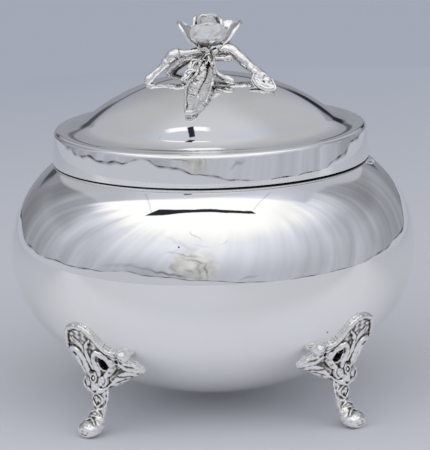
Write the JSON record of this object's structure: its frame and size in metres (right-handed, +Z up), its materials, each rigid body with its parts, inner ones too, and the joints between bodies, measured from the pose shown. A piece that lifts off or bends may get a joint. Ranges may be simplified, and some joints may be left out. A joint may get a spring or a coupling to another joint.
{
  "type": "sugar bowl",
  "caption": "Round polished silver sugar bowl on cast scroll feet, with a lift-off ogee lid and a finial of a rose and leaf on a branch.",
  "frame": {"origin": "on the floor under the middle of the bowl, where the toes rest", "axes": "+Z up along the bowl's axis, -Y towards the front that the leaf on the lid faces, +X towards the sawn end of the branch"},
  "size_m": [0.136, 0.136, 0.1319],
  "materials": {
    "polished_silver": "mirror polished silver",
    "cast_silver": "polished cast silver, darker in the recesses"
  },
  "bodies": {
    "bowl": {"bowl_shell": "polished_silver", "bowl_rim_wire": "polished_silver", "foot_front_left": "cast_silver", "foot_front_right": "cast_silver", "foot_back_left": "cast_silver", "foot_back_right": "cast_silver"},
    "lid": {"lid_dome": "polished_silver", "lid_band": "polished_silver", "lid_bezel": "polished_silver", "finial_branch": "cast_silver", "finial_twig_stub": "cast_silver", "finial_bud": "cast_silver", "finial_leaf": "cast_silver", "finial_leaflet_upper": "cast_silver", "finial_leaflet_lower": "cast_silver", "rose_calyx": "cast_silver", "rose_heart": "cast_silver", "rose_petal_front": "cast_silver", "rose_petal_left": "cast_silver", "rose_petal_right": "cast_silver", "rose_petal_back": "cast_silver", "rose_inner_petal_left": "cast_silver", "rose_inner_petal_right": "cast_silver"}
  },
  "joints": [
    {"name": "lid_lift", "type": "slide", "parent": "bowl", "child": "lid", "axis": [0, 0, 1], "range_m": [0, 0.06]}
  ]
}
